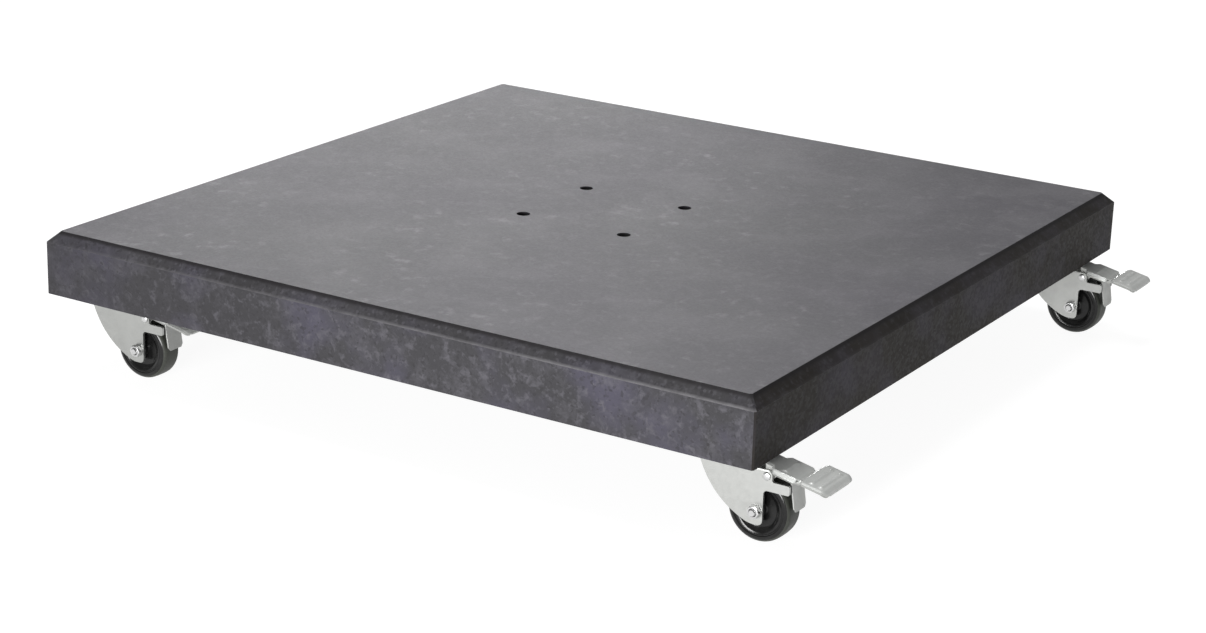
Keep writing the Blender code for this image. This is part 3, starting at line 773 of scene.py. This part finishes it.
def hex_piece(across, low, high, bore=0.0):
    """A hexagon along X with its corners turned off at both ends, bored through if asked."""
    half = across / 2
    corner = half / cos(pi / 6)
    face = half * 0.96
    slope = tan(radians(30))
    rise = (corner - face) * slope
    profile = [(face, low), (corner, low + rise), (corner, high - rise), (face, high)]
    ease = 0.0006
    if bore > 0:
        profile = [(bore, low + ease), (bore + ease, low)] + profile
        profile += [(bore + ease, high), (bore, high - ease)]
    else:
        profile = [(0, low)] + profile + [(0, high)]
    bm = turned(profile, 72, "X", bore > 0)
    for vert in bm.verts:
        out = sqrt(vert.co.y**2 + vert.co.z**2)
        if out < face + 0.00001:
            continue
        turn = atan2(vert.co.z, vert.co.y) % (pi / 3) - pi / 6
        flat = min(out, half / cos(turn))
        vert.co.y *= flat / out
        vert.co.z *= flat / out
        inward = (flat - face) * slope
        vert.co.x = low + inward if vert.co.x < (low + high) / 2 else high - inward
    bmesh.ops.recalc_face_normals(bm, faces=bm.faces)
    return bm


def bolt_shape():
    """Axle bolt with a turned hexagon head, plain shank and a threaded end."""
    low, high = local_box("axle_bolt")
    seat = FORK_HIGH.x + GAP
    head = hex_piece(ACROSS_FLATS, seat, high.x)
    pitch = sizes().thread
    in_head = high.x - 0.001
    along = 0.004 - seat
    profile = [(0, in_head), (AXLE_RADIUS, in_head), (AXLE_RADIUS, along)]
    while along - pitch > low.x + 0.0006:
        profile += [(AXLE_RADIUS * 0.86, along - pitch * 0.4), (AXLE_RADIUS, along - pitch)]
        along -= pitch
    profile += [(AXLE_RADIUS * 0.84, low.x), (0, low.x)]
    shank = turned(profile, 40, "X")
    bm = joined([head, shank])
    bmesh.ops.translate(bm, vec=(0, AXLE.y, AXLE.z), verts=bm.verts)
    return bm


def nut_shape():
    """Hexagon nut, turned off at both faces, with a countersunk bore."""
    low, high = local_box("axle_nut")
    bm = hex_piece(ACROSS_FLATS, low.x, high.x, NUT_BORE)
    bmesh.ops.translate(bm, vec=(0, AXLE.y, AXLE.z), verts=bm.verts)
    return bm


def dome(radius, base, top, rows=5):
    """Profile of a domed rivet head from its rim to its crown."""
    points = []
    for step in range(rows + 1):
        angle = pi / 2 * step / rows
        points.append((radius * cos(angle), base + (top - base) * sin(angle)))
    return points


def pin_shape():
    """Pedal rivet with a domed head outside each ear."""
    low, high = local_box("pedal_pin")
    seat = FORK_HIGH.x + GAP
    head = (high.z - low.z) / 2
    rim = seat + 0.0003
    right = [(PIN_RADIUS, seat), (head, seat)] + dome(head, rim, high.x)
    profile = [(out, -along) for out, along in reversed(right)] + right
    bm = turned(profile, 36, "X")
    bmesh.ops.translate(bm, vec=(0, PIN.y, PIN.z), verts=bm.verts)
    return bm


PEDAL = {
    "slope": 0.205,
    "rise": 0.0091,
    "front": 0.005,
    "body": 0.028,
    "body_half": 0.0185,
    "neck": 0.004,
    "neck_half": 0.0155,
    "pad": 0.026,
    "pad_half": 0.025,
    "step": 0.0035,
    "corner": 0.006,
}


def smooth(low, high, value):
    """A soft step from 0 to 1 as value goes from low to high."""
    part = min(1.0, max(0.0, (value - low) / (high - low)))
    return part * part * (3 - 2 * part)


def bell(middle, width, value):
    """A soft bump of height 1 at middle."""
    part = min(1.0, abs(value - middle) / width)
    return 0.5 + 0.5 * cos(pi * part)


def pedal_half_width(behind):
    """Half width of the pedal at a distance behind the pin."""
    p = PEDAL
    flange = FORK_HIGH.x - sizes().sheet - FLANGE_GAP
    neck = p["body"]
    pad = neck + p["neck"]
    tip = pad + p["pad"]
    half = flange + (p["body_half"] - flange) * smooth(0.001, 0.0055, behind)
    half += (p["neck_half"] - p["body_half"]) * smooth(neck - 0.0035, neck + 0.0005, behind)
    half += (p["pad_half"] - p["neck_half"]) * smooth(pad - 0.0025, pad + 0.0025, behind)
    over = behind - (tip - p["corner"])
    if over > 0:
        half -= p["corner"] - sqrt(max(0.0, p["corner"] ** 2 - over**2))
    return half


def pedal_height(behind, across):
    """Height of the pedal's top face over the pin at a place on it."""
    p = PEDAL
    neck = p["body"]
    pad = neck + p["neck"]
    tip = pad + p["pad"]
    height = p["rise"] + p["step"] * smooth(neck, pad + 0.0015, behind)
    height -= 0.0009 * bell(neck, 0.003, behind)
    height -= 0.0020 * smooth(tip - 0.006, tip, behind)
    half = pedal_half_width(behind)
    edge = smooth(half - 0.0034, half, abs(across))
    lip = 0.0006 + 0.0022 * smooth(0.002, 0.008, behind) * (1 - smooth(neck - 0.004, pad, behind))
    height -= edge * lip
    inside = 1 - smooth(half - 0.0085, half - 0.0055, abs(across))
    for middle in (pad + 0.0080, pad + 0.0165):
        height += sizes().rib * bell(middle, 0.0026, behind) * inside
    height += 0.0007 * bell(0.0125, 0.0036, behind) * inside
    return height


def pedal_shape():
    """Stamped pedal: turned-down edges, valley at the neck, grip ribs, flanges on the rivet.

    Faces that look up take the first material, a lighter zinc that is painted light; edges and
    undersides take the second, a slightly darkened zinc that is painted shade.
    """
    p = PEDAL
    size = sizes()
    tip = p["body"] + p["neck"] + p["pad"] - 0.00005
    bm = bmesh.new()
    bmesh.ops.create_grid(bm, x_segments=44, y_segments=88, size=1.0)
    for vert in bm.verts:
        share = (1 - vert.co.y) / 2
        behind = -p["front"] + (tip + p["front"]) * share
        across = vert.co.x * pedal_half_width(behind)
        vert.co = (across, -behind, pedal_height(behind, across))
    bmesh.ops.recalc_face_normals(bm, faces=bm.faces)
    if sum(face.normal.z for face in bm.faces) < 0:
        bmesh.ops.reverse_faces(bm, faces=bm.faces)
    bmesh.ops.solidify(bm, geom=bm.faces[:], thickness=size.pedal_sheet)
    bmesh.ops.recalc_face_normals(bm, faces=bm.faces)
    outside = FORK_HIGH.x - size.sheet - FLANGE_GAP
    high = p["rise"] - size.pedal_sheet * 0.6
    outline = filleted(
        [
            (-p["front"] + 0.0004, high, 0),
            (-0.0042, -0.0034, 0.0033),
            (0.0036, -0.0034, 0.0033),
            (0.0075, 0.0022, 0.003),
            (0.0130, 0.0042, 0.001),
            (0.0130, high, 0),
        ],
        6,
    )
    parts = [bm]
    for side in (-1, 1):
        near, far = sorted((side * outside, side * (outside - size.shoe_sheet)))
        plate = pushed(outline, near, far, "X")
        hole = drill(PIN_EYE, near - WIDE, far + WIDE, (0, 0, 0), "X")
        parts.append(eased(combined(plate, hole, "DIFFERENCE"), size.sheet_edge * 0.8))
    bm = joined(parts)
    # Painted light and shade: upward faces take the lighter zinc, the rest a darkened one.
    for face in bm.faces:
        face.material_index = 0 if face.normal.z > 0.55 else 1
    tilt = Matrix.Rotation(atan(p["slope"]), 3, "X")
    bmesh.ops.rotate(bm, cent=(0, 0, 0), matrix=tilt, verts=bm.verts)
    bmesh.ops.translate(bm, vec=(0, PIN.y, PIN.z), verts=bm.verts)
    return bm


def shoe_shape():
    """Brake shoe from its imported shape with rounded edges."""
    bm = copied_node(PATTERN + "_brake_shoe", -swivel(PATTERN))
    return eased(bm, sizes().sheet_edge * 1.2, segments=3)


def plate_shape():
    """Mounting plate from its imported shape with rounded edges."""
    bm = copied_node(PATTERN + "_mounting_plate", -swivel(PATTERN))
    return eased(bm, 0.0003, sharper=40.0)


def screw_shape(number):
    """Pan-head screw with a cross recess, in its own hole of the plate."""
    low, high = local_box("plate_screw_" + str(number))
    middle = (low + high) / 2
    radius = (high.x - low.x) / 2
    shank, root, pitch = 0.003, 0.0024, 0.0018
    seat = low.z + 0.0027
    profile = [(0, low.z)]
    rows = 6
    for step in range(1, rows + 1):
        angle = pi / 2 * step / rows
        profile.append((radius * sin(angle), seat - 0.0005 - 0.0022 * cos(angle)))
    profile += [(radius, seat), (shank, seat)]
    along = seat + 0.003
    while along < high.z - 0.002:
        profile += [(shank, along), (root, along + pitch / 3), (shank, along + pitch * 2 / 3)]
        along += pitch
    profile += [(0.0022, high.z), (0, high.z)]
    bm = turned(profile, 28)
    slots = []
    for turn in (0, pi / 2):
        slot = bmesh.new()
        size = Matrix.Diagonal((0.0042, 0.0009, 0.0030, 1))
        bmesh.ops.create_cube(slot, size=1.0, matrix=Matrix.Rotation(turn, 4, "Z") @ size)
        bmesh.ops.translate(slot, vec=(0, 0, low.z), verts=slot.verts)
        slots.append(slot)
    for slot in slots:
        bm = combined(bm, slot, "DIFFERENCE")
    bmesh.ops.recalc_face_normals(bm, faces=bm.faces)
    bmesh.ops.translate(bm, vec=(middle.x, middle.y, 0), verts=bm.verts)
    return bm


def kingpin_shape():
    """Kingpin rivet: shank and a low domed head under the crown."""
    low, high = local_box("kingpin")
    head = (high.x - low.x) / 2
    seat = FORK_HIGH.z - sizes().sheet - GAP
    shank, ease = 0.005, 0.0004
    profile = [(out, along) for out, along in reversed(dome(head, seat - 0.0012, low.z, 6))]
    profile += [(head, seat), (shank, seat), (shank, high.z - ease), (shank - ease, high.z)]
    profile.append((0, high.z))
    return turned(profile, 48)


def balls_shape():
    """Ring of bearing balls held by a thin pressed cage."""
    low, high = local_box("ball_ring")
    middle = (low.z + high.z) / 2
    ring = (high.x - low.x) / 2 - sizes().ball
    thin = 0.0004
    wide = sizes().ball * 0.72
    cage = turned(
        [
            (ring - wide, middle - thin),
            (ring + wide, middle - thin),
            (ring + wide, middle + thin),
            (ring - wide, middle + thin),
        ],
        72,
        "Z",
        True,
    )
    parts = [cage]
    for number in range(sizes().balls):
        angle = 2 * pi * number / sizes().balls
        ball = bmesh.new()
        place = Matrix.Translation((ring * cos(angle), ring * sin(angle), middle))
        bmesh.ops.create_icosphere(ball, subdivisions=2, radius=sizes().ball * 0.99, matrix=place)
        parts.append(ball)
    return joined(parts)


def slab_shape():
    """The slab with eased edges, each face marked with its own finish; the front and back faces
    get the finishes with painted shade.
    """
    bm = copied_node("granite_slab")
    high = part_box("granite_slab")[1]
    look = stone()
    eased(bm, look.arris, sharper=20.0, segments=3)
    for face in bm.faces:
        middle = face.calc_center_median()
        rim = high.x - max(abs(middle.x), abs(middle.y))
        under = high.z - middle.z
        if face.normal.z > 0.995 and under < 0.0005:
            finish = TOP
        elif rim > look.chamfer * 1.6:
            finish = HOLE
        elif under < look.chamfer + look.arris:
            finish = CHAMFER
        else:
            finish = SIDE
        # Front and back faces take the painted-shade finishes.
        if abs(face.normal.y) > 0.6:
            finish = {SIDE: PAINTED_SHADE_SIDE, CHAMFER: PAINTED_SHADE_CHAMFER}.get(finish, finish)
        face.material_index = finish
    return bm


# ---- operators, one for each piece or group of like pieces ---------------------------------
class SLAB_OT_stone(bpy.types.Operator):
    """Make the granite slab with its honed top, polished chamfer and drilled holes"""

    bl_idname = "granite_slab.stone"
    bl_label = "Granite slab"

    def execute(self, context):
        look = stone()
        top, flecks = tuple(look.top_tone), tuple(look.top_light)
        side, light = tuple(look.side_tone), tuple(look.side_light)
        shade_tone = tuple(look.brown_tone)
        paints = [
            granite("honed_granite", top, flecks, 0.5, 0.4, 0.6, 0.35, dashes=True),
            granite("sawn_granite", side, light, 0.6, 0.8, 1.1, 0.15, 380.0, rear_shade=0.45),
            # The side chamfers get a strong painted highlight, the front and back ones a faint
            # one.
            polished_chamfer("left_chamfer", tuple(look.chamfer_tone), 1.0),
            # The hole walls' darker tone is painted shade.
            granite("drilled_granite", tuple(look.hole_tone), side, 0.8, 0.3, 0.8, 0.1),
            granite("brown_granite", shade_tone, side, 0.62, 0.55, 1.0, 0.12, 380.0),
            polished_chamfer("front_chamfer", shade_tone, 0.1),
        ]
        bm = slab_shape()
        finished("granite_slab_stone", bm, "slab", ["granite_slab"], paints, 25.0)
        bm.free()
        return {"FINISHED"}


class SLAB_OT_plates(bpy.types.Operator):
    """Make the mounting plates"""

    bl_idname = "granite_slab.plates"
    bl_label = "Mounting plates"

    def execute(self, context):
        paint = zinc("plate_zinc", colours().zinc, 0.36)
        plate = plate_shape()
        on_every_castor("_zinc_plate", plate, "slab", "_mounting_plate", [paint])
        return {"FINISHED"}


class SLAB_OT_screws(bpy.types.Operator):
    """Make the plate screws"""

    bl_idname = "granite_slab.screws"
    bl_label = "Plate screws"

    def execute(self, context):
        paint = zinc("screw_steel", colours().steel, 0.28)
        for number in (1, 2, 3, 4):
            label = "_pan_screw_" + str(number)
            kind = "_plate_screw_" + str(number)
            on_every_castor(label, screw_shape(number), "slab", kind, [paint])
        return {"FINISHED"}


class SLAB_OT_bearings(bpy.types.Operator):
    """Make the kingpins and the rings of bearing balls"""

    bl_idname = "granite_slab.bearings"
    bl_label = "Swivel bearings"

    def execute(self, context):
        steel = zinc("kingpin_steel", colours().steel, 0.34)
        bright = zinc("ball_steel", colours().steel, 0.12)
        rivet, balls = kingpin_shape(), balls_shape()
        on_every_castor("_kingpin_rivet", rivet, "slab", "_kingpin", [steel])
        on_every_castor("_caged_balls", balls, "_bearing_balls", "_ball_ring", [bright])
        return {"FINISHED"}


class SLAB_OT_forks(bpy.types.Operator):
    """Make the pressed forks"""

    bl_idname = "granite_slab.forks"
    bl_label = "Forks"

    def execute(self, context):
        paint = zinc("fork_zinc", colours().zinc, 0.40)
        fork = fork_shape()
        on_every_castor("_pressed_fork", fork, "_turning_fork", "_fork", [paint])
        return {"FINISHED"}


class SLAB_OT_wheels(bpy.types.Operator):
    """Make the moulded wheels"""

    bl_idname = "granite_slab.wheels"
    bl_label = "Wheels"

    def execute(self, context):
        side = moulding("wheel_side", colours().side, 0.18, 0.00001, 0.32)
        tread = moulding("wheel_tread", colours().tread, 0.5, 0.00006, 0.35)
        wheel, paints = wheel_shape(), [side, tread]
        on_every_castor("_moulded_wheel", wheel, "_rolling_wheel", "_wheel", paints)
        return {"FINISHED"}


class SLAB_OT_axles(bpy.types.Operator):
    """Make the axle bolts and nuts"""

    bl_idname = "granite_slab.axles"
    bl_label = "Axle bolts and nuts"

    def execute(self, context):
        paint = zinc("axle_steel", colours().steel, 0.26)
        bolt, nut = bolt_shape(), nut_shape()
        on_every_castor("_hex_bolt", bolt, "_turning_fork", "_axle_bolt", [paint])
        on_every_castor("_hex_nut", nut, "_turning_fork", "_axle_nut", [paint])
        return {"FINISHED"}


class SLAB_OT_brakes(bpy.types.Operator):
    """Make the brake pedals, their shoes and the rivets they hinge on"""

    bl_idname = "granite_slab.brakes"
    bl_label = "Brakes"

    def execute(self, context):
        # Painted light and shade: lighter zinc on the pedal's upward faces, darkened fork zinc on
        # its edges, undersides and the shoe.
        face = zinc("pedal_zinc", colours().pedal_zinc, 0.38, 0.35)
        edge = zinc("edge_zinc", [part * 0.92 for part in colours().zinc], 0.42, 0.9)
        steel = zinc("rivet_steel", colours().steel, 0.3)
        pin, pedal, shoe = pin_shape(), pedal_shape(), shoe_shape()
        on_every_castor("_pedal_rivet", pin, "_turning_fork", "_pedal_pin", [steel])
        on_every_castor("_stamped_pedal", pedal, "_brake", "_brake_pedal", [face, edge])
        on_every_castor("_bent_shoe", shoe, "_brake", "_brake_shoe", [edge])
        return {"FINISHED"}


class SLAB_OT_stage(bpy.types.Operator):
    """Make the pale floor, the soft lights and the camera"""

    bl_idname = "granite_slab.stage"
    bl_label = "Stage"

    def execute(self, context):
        settings = stage_settings()
        scene = context.scene
        scene.view_settings.view_transform = "Standard"
        floor = bpy.data.meshes.new("floor")
        bm = bmesh.new()
        bmesh.ops.create_circle(bm, cap_ends=True, segments=96, radius=FLOOR_RADIUS)
        bmesh.ops.translate(bm, vec=(0, 0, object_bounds()[0][2]), verts=bm.verts)
        bm.to_mesh(floor)
        bm.free()
        paint = Paint("pale_floor", 0.9, specular=0.0)
        shade = paint.noise(2.0, 2.0)
        tone = tuple(settings.floor)
        dull = [part * 0.99 for part in tone]
        paint.colour(paint.mixed(paint.ramp(shade, 0.3, 0.7), tone, dull))
        paint.shader.inputs["Emission Color"].default_value = (1, 1, 1, 1)
        paint.shader.inputs["Emission Strength"].default_value = settings.floor_glow
        floor.materials.append(paint.material)
        ground = bpy.data.objects.new("pale_floor", floor)
        scene.collection.objects.link(ground)
        ground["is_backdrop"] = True
        world = bpy.data.worlds.new("studio")
        world.use_nodes = True
        sky = world.node_tree.nodes["Background"]
        sky.inputs["Color"].default_value = (1.0, 1.0, 1.0, 1.0)
        sky.inputs["Strength"].default_value = settings.sky
        scene.world = world
        for name, setting, wide, high, spot in SOFTBOXES:
            self.soft_light(name, getattr(settings, setting), wide, high, spot)
        self.camera(scene, settings)
        return {"FINISHED"}

    def soft_light(self, name, power, wide, high, spot):
        """A rectangular soft light aimed at the slab."""
        light = bpy.data.lights.new(name, "AREA")
        light.shape = "RECTANGLE"
        light.size = wide
        light.size_y = high
        light.energy = power
        lamp = bpy.data.objects.new(name, light)
        bpy.context.scene.collection.objects.link(lamp)
        lamp.location = spot
        lamp.rotation_euler = (-Vector(spot)).to_track_quat("-Z", "Y").to_euler()

    def camera(self, scene, settings):
        """A camera that looks over the near corner of the slab."""
        forward = Vector(
            (
                cos(settings.yaw) * cos(settings.pitch),
                sin(settings.yaw) * cos(settings.pitch),
                -sin(settings.pitch),
            )
        )
        level = Vector((sin(settings.yaw), -cos(settings.yaw), 0))
        upright = level.cross(forward)
        right = cos(settings.roll) * level + sin(settings.roll) * upright
        up = cos(settings.roll) * upright - sin(settings.roll) * level
        lens = bpy.data.cameras.new("camera")
        lens.lens = settings.lens
        lens.sensor_width = SENSOR_WIDTH
        camera = bpy.data.objects.new("camera", lens)
        scene.collection.objects.link(camera)
        place = Matrix((right, up, -forward)).transposed().to_4x4()
        place.translation = CAMERA_SPOT
        camera.matrix_world = place
        scene.camera = camera


class SLAB_PT_panel(bpy.types.Panel):
    """Lists the makers of the rolling granite slab"""

    bl_idname = "SLAB_PT_panel"
    bl_label = "Granite slab"
    bl_space_type = "VIEW_3D"
    bl_region_type = "UI"
    bl_category = "Granite slab"

    def draw(self, context):
        for maker in MAKERS:
            self.layout.operator(maker.bl_idname)
        for group in (stone(), sizes(), colours(), stage_settings()):
            box = self.layout.box()
            for key in group.__annotations__:
                box.prop(group, key)


GROUPS = {
    "slab_stone": SlabStone,
    "castor_sizes": CastorSizes,
    "castor_colours": CastorColours,
    "stage_settings": StageSettings,
}
MAKERS = (
    SLAB_OT_stone,
    SLAB_OT_plates,
    SLAB_OT_screws,
    SLAB_OT_bearings,
    SLAB_OT_forks,
    SLAB_OT_wheels,
    SLAB_OT_axles,
    SLAB_OT_brakes,
    SLAB_OT_stage,
)


def register():
    """Register the classes and hang the settings on the scene."""
    for kind in (*GROUPS.values(), *MAKERS, SLAB_PT_panel):
        bpy.utils.register_class(kind)
    for name, kind in GROUPS.items():
        setattr(bpy.types.Scene, name, PointerProperty(type=kind))


def unregister():
    """Undo register."""
    for name in GROUPS:
        delattr(bpy.types.Scene, name)
    for kind in (SLAB_PT_panel, *reversed(MAKERS), *reversed(tuple(GROUPS.values()))):
        bpy.utils.unregister_class(kind)


def main():
    """Make every piece and the stage."""
    register()
    for maker in MAKERS:
        group, name = maker.bl_idname.split(".")
        getattr(getattr(bpy.ops, group), name)()
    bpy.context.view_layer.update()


if __name__ == "__main__":
    main()
